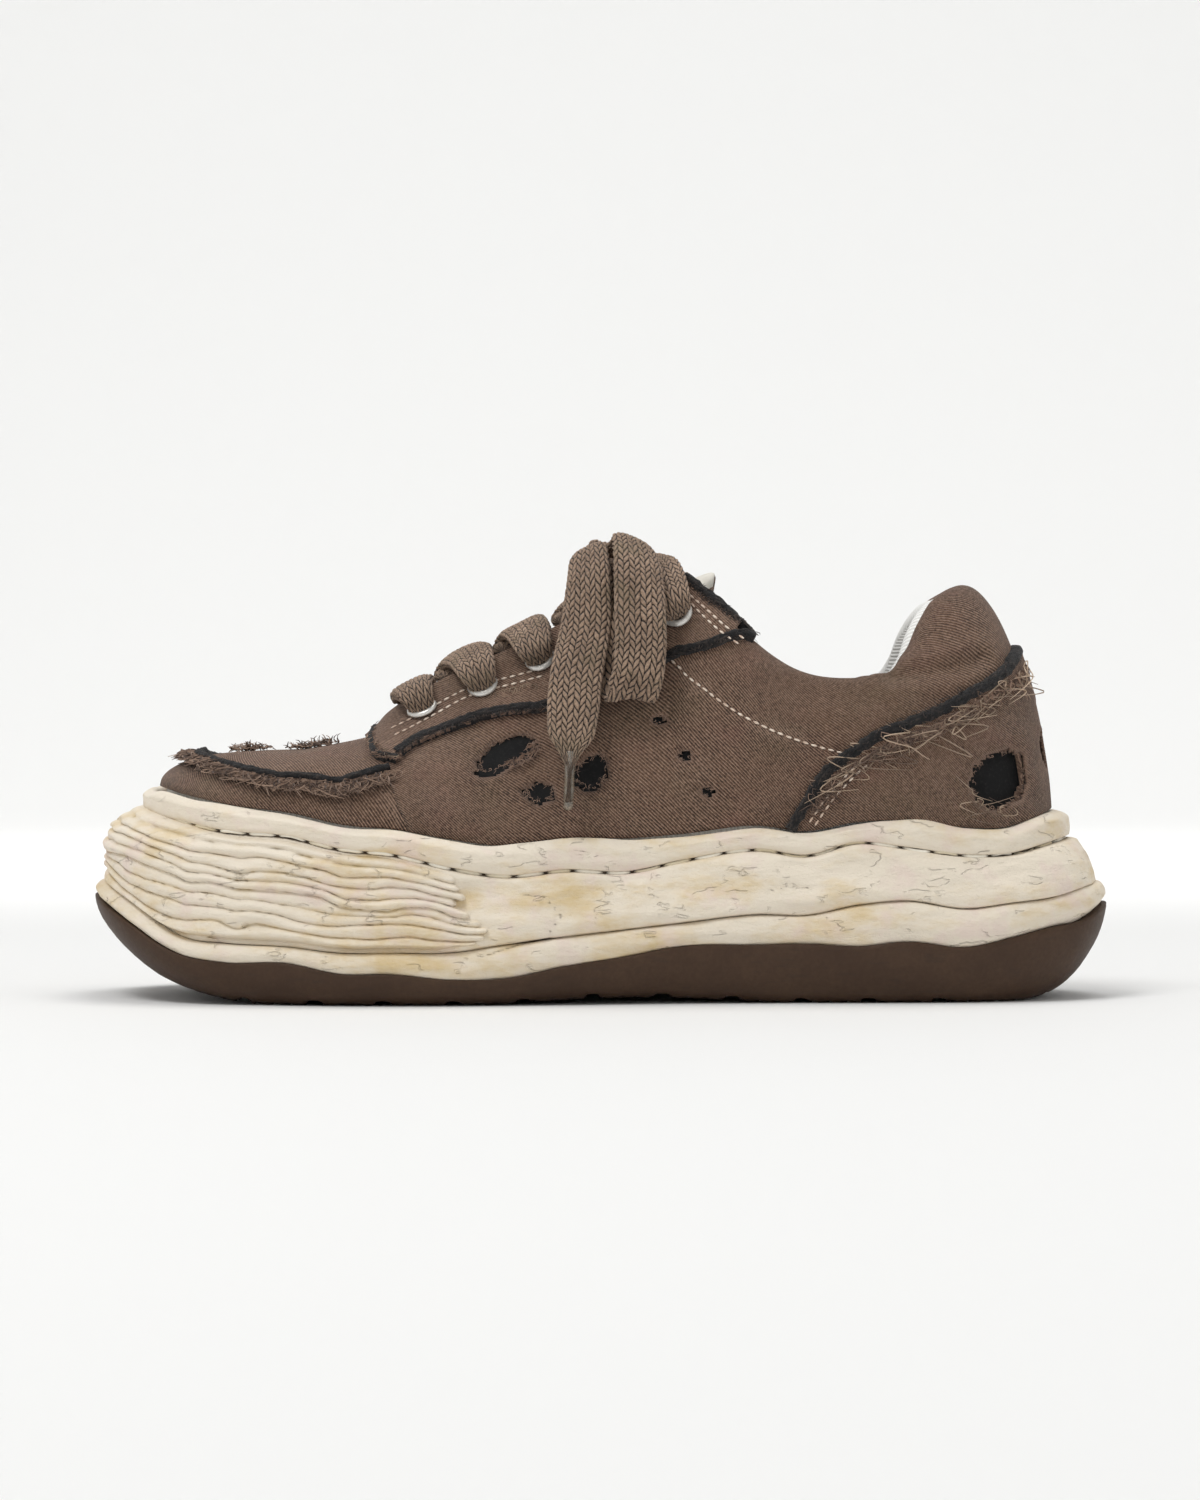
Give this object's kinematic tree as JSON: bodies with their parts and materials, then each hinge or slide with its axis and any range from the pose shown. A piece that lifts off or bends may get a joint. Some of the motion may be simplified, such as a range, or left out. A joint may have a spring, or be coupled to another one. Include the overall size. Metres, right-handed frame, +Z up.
{
  "type": "low sneaker",
  "caption": "Worn low-cut lace-up sneaker: thick flared rubber sole with ribbed toe bumper, hollow canvas upper with padded collar, tongue, insole and tied braided lace.",
  "frame": {"origin": "on the floor below the centre of the shoe's box, measured without the bow", "axes": "+X from toe to heel, +Y towards the inner (medial) side of the foot, +Z up"},
  "size_m": [0.3064, 0.1152, 0.1381],
  "materials": {
    "canvas": "worn twill",
    "cream_rubber": "matte",
    "brown_rubber": "matte",
    "lining": "ribbed",
    "braid": "braided",
    "ring_metal": "satin",
    "clear_tip": "gloss"
  },
  "bodies": {
    "root": {"outsole": "brown_rubber", "midsole": "cream_rubber", "toe_bumper": "cream_rubber", "upper": "canvas", "insole": "lining", "tongue": "canvas", "heel_counter": "canvas", "eyestay_lateral": "canvas", "eyestay_medial": "canvas", "apron_strip": "canvas", "eyelet_lateral_1": "ring_metal", "eyelet_lateral_2": "ring_metal", "eyelet_lateral_3": "ring_metal", "eyelet_lateral_4": "ring_metal", "eyelet_lateral_5": "ring_metal", "eyelet_medial_1": "ring_metal", "eyelet_medial_2": "ring_metal", "eyelet_medial_3": "ring_metal", "eyelet_medial_4": "ring_metal", "eyelet_medial_5": "ring_metal", "lace_bar": "braid", "lace_cross_1": "braid", "lace_cross_2": "braid", "lace_cross_3": "braid", "lace_cross_top": "braid", "lace_knot": "braid", "lace_loop_lateral": "braid", "lace_loop_medial": "braid", "lace_end_lateral": "braid", "lace_end_medial": "braid", "aglet_lateral": "clear_tip", "aglet_medial": "clear_tip"}
  },
  "joints": []
}
